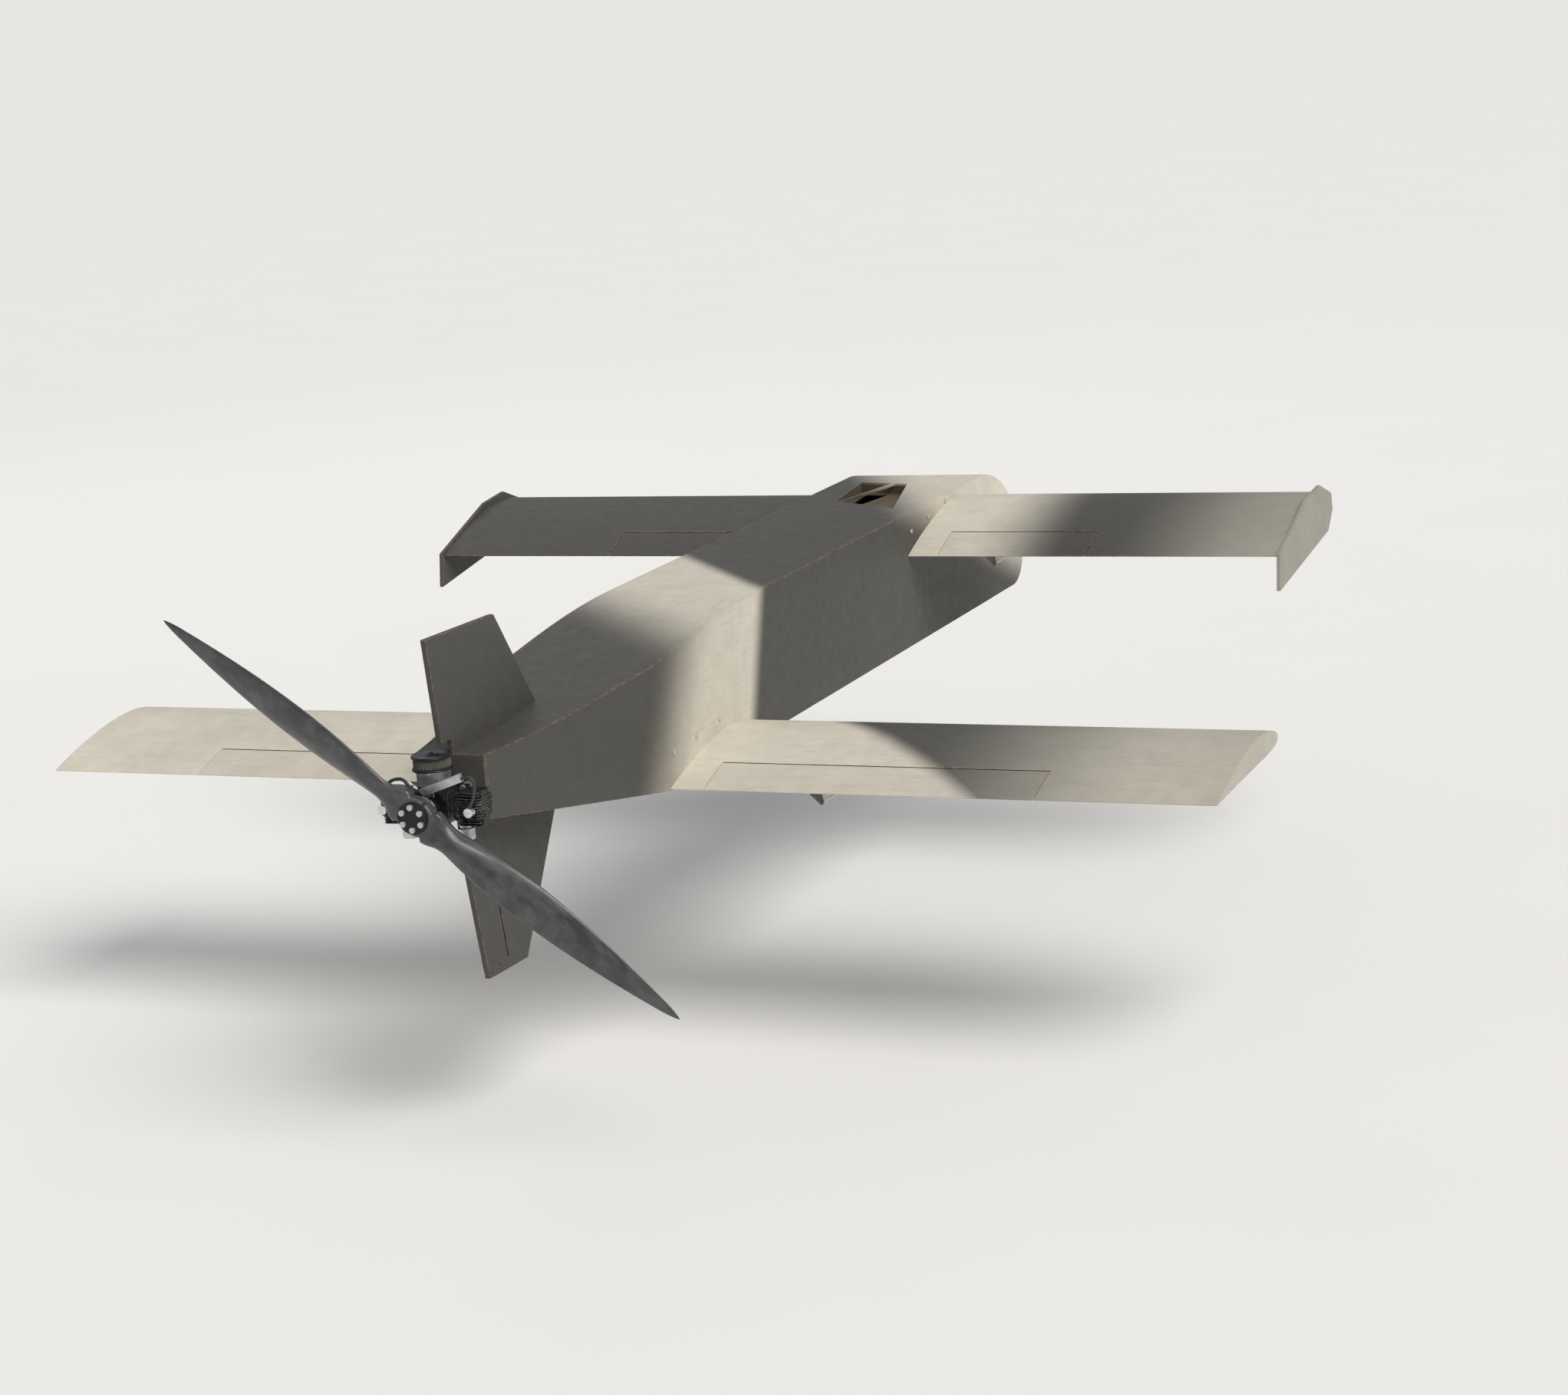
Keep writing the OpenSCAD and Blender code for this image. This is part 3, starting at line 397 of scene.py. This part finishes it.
FINISH = {
    "painted_plywood": paint("painted_plywood", body_light_patches),
    "painted_wing": paint("painted_wing", wing_light_patches, (0.05, 1, 1)),
    "painted_light_board": paint("painted_light_board", wing_light_patches, (0.05, 1, 1), 0.92),
    "painted_horn": paint("painted_horn", all_painted_shade, (0.05, 1, 1)),
    "bare_plywood": bare_plywood(),
    # The inlet tray's plywood is darkened nearly to black as painted shade inside the recess.
    "inlet_ply_shaded": bare_plywood("inlet_ply_shaded", 0.88),
    "carbon_tube": carbon(),
    "steel": steel(),
    "cast_alloy": cast_alloy(),
    "black_alloy": black_alloy(),
    "propeller_composite": blade_composite(),
    "filter_foam": filter_gauze(),
    "black_plastic": moulded("black_plastic", (0.03, 0.03, 0.03)),
    "tank_plastic": tank_plastic(),
    "hose_rubber": rubber(),
    "blue_case": blue_case(),
    "hub_plate": hub_plate(),
    "battery_wrap": moulded("battery_wrap", (0.035, 0.035, 0.05), 0.28),
}
SLOT_OF = {row["node"]: row["material_slot"] for row in frame["record"]["subparts"]}


WELD_WITHIN = 0.004 * MM
FLAT_WITHIN = math.radians(0.3)
SHARP_OVER = math.radians(32)


def wear(obj, finish):
    obj.data.materials.clear()
    obj.data.materials.append(FINISH[finish])


def soften(obj, width):
    """Merges flat faces, rounds the sharp edges by width and shades the rest smooth."""
    weld = obj.modifiers.new("weld", "WELD")
    weld.merge_threshold = WELD_WITHIN
    flats = obj.modifiers.new("flats", "DECIMATE")
    flats.decimate_type = "DISSOLVE"
    flats.angle_limit = FLAT_WITHIN
    bevel = obj.modifiers.new("bevel", "BEVEL")
    bevel.width = width
    bevel.segments = 2
    bevel.limit_method = "ANGLE"
    bevel.angle_limit = SHARP_OVER
    bevel.use_clamp_overlap = True
    bevel.harden_normals = True
    normals = obj.modifiers.new("normals", "WEIGHTED_NORMAL")
    normals.keep_sharp = True
    for face in obj.data.polygons:
        face.use_smooth = True


# Edge rounding by material slot, with one width for the rest and one for slender pieces
EDGE = {
    "painted_plywood": 0.9 * MM,
    "painted_light_board": 0.6 * MM,
    "bare_plywood": 0.3 * MM,
    "cast_alloy": 0.6 * MM,
    "black_alloy": 0.3 * MM,
}
PLAIN_EDGE = 0.4 * MM
THIN_EDGE = 0.2 * MM
# The rudder uses the fuselage's painted light pattern, which leaves it in painted shade grey.
SPECIAL = {"prop_bolts": "hub_plate", "inlet_tray": "inlet_ply_shaded", "rudder": "painted_plywood"}
THIN = ("throttle", "servo_arm", "horn", "pushrod", "screws", "pins", "latch", "power_switch")

for name, obj in nodes.items():
    slot = SLOT_OF[name]
    finish = SPECIAL.get(name, slot)
    if "_wing_" in name or "tip_plates" in name:
        finish = "painted_wing"
    # Horns get no painted sunlight and stay painted shade grey.
    if "_horn_" in name:
        finish = "painted_horn"
    wear(obj, finish)
    width = EDGE.get(slot, PLAIN_EDGE)
    if any(word in name for word in THIN):
        width = THIN_EDGE
    soften(obj, width)


# ---- Finer pieces over plain CAD stand-ins ----


def mesh_piece(name, body, slot):
    """Empty mesh object that rides on body, with an open bmesh to fill."""
    mesh = bpy.data.meshes.new(name)
    obj = bpy.data.objects.new(name, mesh)
    scene.collection.objects.link(obj)
    mesh.materials.append(FINISH[slot])
    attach(obj, body)
    return obj, bmesh.new()


def close_piece(obj, bm):
    bmesh.ops.recalc_face_normals(bm, faces=bm.faces)
    for face in bm.faces:
        face.smooth = True
    bm.to_mesh(obj.data)
    bm.free()


def skin_rings(bm, rings):
    """Joins equal closed rings of points into one tube with closed ends."""
    rows = [[bm.verts.new(p) for p in ring] for ring in rings]
    count = len(rings[0])
    for a, b in zip(rows, rows[1:]):
        for k in range(count):
            bm.faces.new((a[k], a[(k + 1) % count], b[(k + 1) % count], b[k]))
    bm.faces.new(rows[0])
    bm.faces.new(rows[-1])


def ease(t):
    """Smooth step from 0 to 1."""
    t = min(1, max(0, t))
    return t * t * (3 - 2 * t)


def lerp(a, b, t):
    return a + (b - a) * t


HUB_R = 0.031
HUB_T = 0.024
# The hub block turns into the blade between these distances from its middle
BLEND_FROM = 0.027
BLEND_OVER = 0.055
HUB_ROUND = 0.04
BLADE_R = 0.545
BLADE_REST = math.radians(36)
BLADE_RINGS = 90
BLADE_POINTS = 40


def blade_shape(share):
    """Chord, thickness and pitch of the blade at a share of its radius."""
    swell = min(1, max(0, (share - 0.1) / 0.9)) ** 0.75
    chord = 0.034 + 0.034 * math.sin(math.pi * swell) - 0.026 * share**3
    thick = 0.020 * (1 - share) ** 1.4 + 0.0024
    pitch = math.atan(0.42 / (0.35 + 2.6 * share))
    tip = math.sqrt(max(0.0, 1 - max(0, (share - 0.94) / 0.06) ** 2))
    return chord * (0.12 + 0.88 * tip), thick * (0.3 + 0.7 * tip), pitch


def blade_outline(share):
    """(Y, Z) outline at a share of the radius: a boxy hub that turns into a cambered section."""
    out = share * BLADE_R
    blend = ease((out - BLEND_FROM) / BLEND_OVER)
    chord, thick, pitch = blade_shape(max(share, 0.06))
    chord = lerp(2 * HUB_R, chord, blend)
    thick = lerp(HUB_T, thick, blend)
    pitch *= blend
    boxy = lerp(0.35, 1.0, blend)
    width = math.sqrt(1 - (out / HUB_ROUND) ** 2) if out <= BLEND_FROM else 1
    points = []
    for k in range(BLADE_POINTS):
        angle = 2 * math.pi * k / BLADE_POINTS
        c, n = math.cos(angle), math.sin(angle)
        along = width * chord / 2 * math.copysign(abs(c) ** boxy, c)
        lift = thick / 2 * math.copysign(abs(n) ** boxy, n)
        lift += blend * thick * (0.35 * (1 - c * c) - 0.1)
        y = along * math.sin(pitch) + lift * math.cos(pitch)
        z = along * math.cos(pitch) - lift * math.sin(pitch)
        points.append((y, z))
    return points


def propeller():
    """One-piece blade pair: a thick hub block that twists into cambered blades with thin edges."""
    front_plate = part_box("prop_shaft")[1]
    plate_low, plate_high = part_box("prop_bolts")
    place = Vector((0, front_plate.y + HUB_T / 2, (plate_low.z + plate_high.z) / 2))
    turn = Matrix.Rotation(-BLADE_REST, 3, "Y")
    obj, bm = mesh_piece("propeller_blades", "propeller_group", "propeller_composite")
    rings = []
    for i in range(-BLADE_RINGS, BLADE_RINGS + 1):
        side = -1 if i < 0 else 1
        share = (abs(i) / BLADE_RINGS) ** 1.15
        ring = [Vector((side * share * BLADE_R, y, side * z)) for y, z in blade_outline(share)]
        rings.append([turn @ p + place for p in ring])
    skin_rings(bm, rings)
    close_piece(obj, bm)
    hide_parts("propeller")


FILTER_CAP = 0.004
# The drum stands this far inside the caps' rims
DRUM_INSET = 0.0042
PLEATS = 44
PLEAT_DEPTH = 0.0016
PLEAT_STEPS = 6


def air_filter():
    """Pleated gauze drum between two pressed caps."""
    low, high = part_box("air_filter")
    x, y = (low.x + high.x) / 2, (low.y + high.y) / 2
    radius = (high.x - low.x) / 2
    base, top = low.z, high.z
    obj, bm = mesh_piece("filter_drum", "airframe", "filter_foam")
    count = PLEATS * PLEAT_STEPS
    rings = []
    for z in (base + FILTER_CAP - 0.001, base + FILTER_CAP + 0.002, top - 0.007, top - FILTER_CAP):
        ring = []
        for k in range(count):
            angle = 2 * math.pi * k / count
            r = radius - DRUM_INSET + PLEAT_DEPTH * math.cos(PLEATS * angle)
            ring.append((x + r * math.cos(angle), y + r * math.sin(angle), z))
        rings.append(ring)
    skin_rings(bm, rings)
    close_piece(obj, bm)
    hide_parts("air_filter")

    caps, bm = mesh_piece("filter_caps", "airframe", "black_alloy")
    lower = [(0, 0), (radius, 0), (radius, 0.003), (radius - 0.002, FILTER_CAP), (0, FILTER_CAP)]
    lathe(bm, (x, y), [(r, base + z) for r, z in lower])
    rim = [(0, -0.005), (radius - 0.002, -0.005), (radius, -0.004), (radius, -0.002)]
    dish = [(radius - 0.0015, -0.0004), (radius - 0.006, -0.0012)]
    dish += [(radius * 0.4, -0.0012), (radius * 0.36, 0)]
    knob = [(0.004, 0), (0.0035, 0.003), (0, 0.0032)]
    lathe(bm, (x, y), [(r, top + z) for r, z in rim + dish + knob])
    close_piece(caps, bm)


LATHE_TURNS = 72


def lathe_row(bm, centre, r, z):
    """One ring of a turned body, or a single point on the axis."""
    if r == 0:
        return [bm.verts.new((*centre, z))] * LATHE_TURNS
    angles = [2 * math.pi * k / LATHE_TURNS for k in range(LATHE_TURNS)]
    return [bm.verts.new((centre[0] + r * math.cos(a), centre[1] + r * math.sin(a), z)) for a in angles]


def lathe(bm, centre, profile):
    """Closed body turned about a vertical axis from (radius, z) points that start and end on it."""
    rows = [lathe_row(bm, centre, r, z) for r, z in profile]
    for a, b in zip(rows, rows[1:]):
        for k in range(LATHE_TURNS):
            n = (k + 1) % LATHE_TURNS
            corners = dict.fromkeys((a[k], a[n], b[n], b[k]))
            bm.faces.new(tuple(corners))


CAP_R = 0.008
LEAD_R = 0.0028


def lead(name, points):
    """Smooth round ignition lead through the given points."""
    curve = bpy.data.curves.new(name, "CURVE")
    curve.dimensions = "3D"
    curve.bevel_depth = LEAD_R
    curve.bevel_resolution = 5
    curve.resolution_u = 12
    curve.use_fill_caps = True
    spline = curve.splines.new("BEZIER")
    spline.bezier_points.add(len(points) - 1)
    for knot, place in zip(spline.bezier_points, points):
        knot.co = place
        knot.handle_left_type = knot.handle_right_type = "AUTO"
    obj = bpy.data.objects.new(name, curve)
    scene.collection.objects.link(obj)
    curve.materials.append(FINISH["hose_rubber"])
    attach(obj, "airframe")


def ignition_leads():
    """Leads from the two plug caps over the cylinders to the ends of the ignition case."""
    caps_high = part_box("spark_plugs")[1]
    case_low, case_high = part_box("ignition_module")
    cap_x = caps_high.x - CAP_R
    cap_y = caps_high.y - 0.006
    cap_top = caps_high.z - 0.001
    case_y = case_high.y - 0.005
    outer = (case_low.x + 0.004, case_y, case_high.z - 0.009)
    inner = (case_high.x - 0.003, case_y, case_low.z + 0.010)
    lead(
        "ignition_lead_right",
        [
            (-cap_x, cap_y, cap_top),
            (-cap_x - 0.010, cap_y, cap_top + 0.018),
            (-cap_x - 0.008, case_y, outer[2] + 0.002),
            outer,
        ],
    )
    lead(
        "ignition_lead_left",
        [
            (cap_x, cap_y, cap_top),
            (cap_x - 0.002, cap_y, cap_top + 0.022),
            (cap_x * 0.55, case_y, inner[2] + 0.022),
            (inner[0] + 0.018, case_y, inner[2] + 0.006),
            inner,
        ],
    )


propeller()
air_filter()
ignition_leads()


# ---- Light, floor and camera ----


def area_light(name, place, size, power):
    data = bpy.data.lights.new(name, "AREA")
    data.shape = "RECTANGLE"
    data.size, data.size_y = size
    data.energy = power
    light = bpy.data.objects.new(name, data)
    light.location = place
    light.rotation_euler = (-Vector(place)).to_track_quat("-Z", "Y").to_euler()
    scene.collection.objects.link(light)


def sun_light(name, direction, power, spread, tint):
    data = bpy.data.lights.new(name, "SUN")
    data.energy = power
    data.angle = math.radians(spread)
    data.color = tint
    light = bpy.data.objects.new(name, data)
    light.rotation_euler = Vector(direction).to_track_quat("-Z", "Y").to_euler()
    scene.collection.objects.link(light)


def see_through_from_below(s):
    """Hides the floor from a camera under it, so the belly can be looked at."""
    ray = s.add("ShaderNodeLightPath").outputs["Is Camera Ray"]
    under = s.add("ShaderNodeNewGeometry").outputs["Backfacing"]
    clear = s.add("ShaderNodeBsdfTransparent")
    blend = s.add("ShaderNodeMixShader")
    s.link(s.math("MULTIPLY", ray, under), blend.inputs[0])
    s.link(s.bsdf.outputs[0], blend.inputs[1])
    s.link(clear.outputs[0], blend.inputs[2])
    s.link(blend.outputs[0], s.tree.nodes["Material Output"].inputs["Surface"])


AMBIENT = 0.36
KEY = 2.6
FLOOR_REACH = 200
# The drone hangs this far over the floor
FLOOR_DROP = 0.26


def studio():
    """Broad warm key from starboard and behind, pale sky all round, and a floor that fades into it."""
    world = bpy.data.worlds.new("studio")
    scene.world = world
    world.use_nodes = True
    tree = world.node_tree
    background = tree.nodes["Background"]
    background.inputs["Color"].default_value = (0.95, 0.97, 1.0, 1)
    background.inputs["Strength"].default_value = AMBIENT
    seen = tree.nodes.new("ShaderNodeBackground")
    seen.inputs["Color"].default_value = (0.96, 0.96, 0.955, 1)
    ray = tree.nodes.new("ShaderNodeLightPath")
    mix = tree.nodes.new("ShaderNodeMixShader")
    tree.links.new(ray.outputs["Is Camera Ray"], mix.inputs[0])
    tree.links.new(background.outputs[0], mix.inputs[1])
    tree.links.new(seen.outputs[0], mix.inputs[2])
    tree.links.new(mix.outputs[0], tree.nodes["World Output"].inputs["Surface"])
    sun_light("key", (0.50, -0.30, -0.62), KEY, 40, (1.0, 0.965, 0.91))
    area_light("rim", (4.5, -5.0, 4.5), (4.0, 3.0), 24)

    mesh = bpy.data.meshes.new("floor")
    low = cad_box[0].z - FLOOR_DROP
    corners = [(x * FLOOR_REACH, y * FLOOR_REACH, low) for x, y in ((-1, -1), (1, -1), (1, 1), (-1, 1))]
    mesh.from_pydata(corners, [], [(0, 1, 2, 3)])
    floor = bpy.data.objects.new("floor", mesh)
    scene.collection.objects.link(floor)
    s = Shader("floor", (0.9, 0.9, 0.89), 0.8)
    s.set("Base Color", s.mix(s.noise(2, 3), (0.90, 0.90, 0.895), (0.88, 0.88, 0.875)))
    see_through_from_below(s)
    mesh.materials.append(s.mat)


# Camera behind, above and to starboard of the tail
CAMERA_AT = Vector((-2.942, 6.260, 1.555))
CAMERA_BACK = Vector((-0.412, 0.8835, 0.2227))
CAMERA_UP = Vector((0.0168, -0.237, 0.9714))
CAMERA_LENS = 82.97


def camera():
    data = bpy.data.cameras.new("camera")
    data.lens = CAMERA_LENS
    data.sensor_width = 36
    cam = bpy.data.objects.new("camera", data)
    back = CAMERA_BACK.normalized()
    right = CAMERA_UP.cross(back).normalized()
    up = back.cross(right)
    cam.matrix_world = Matrix.Translation(CAMERA_AT) @ Matrix((right, up, back)).transposed().to_4x4()
    scene.collection.objects.link(cam)
    scene.camera = cam


studio()
camera()
scene.view_settings.view_transform = "Standard"
scene.view_settings.look = "None"
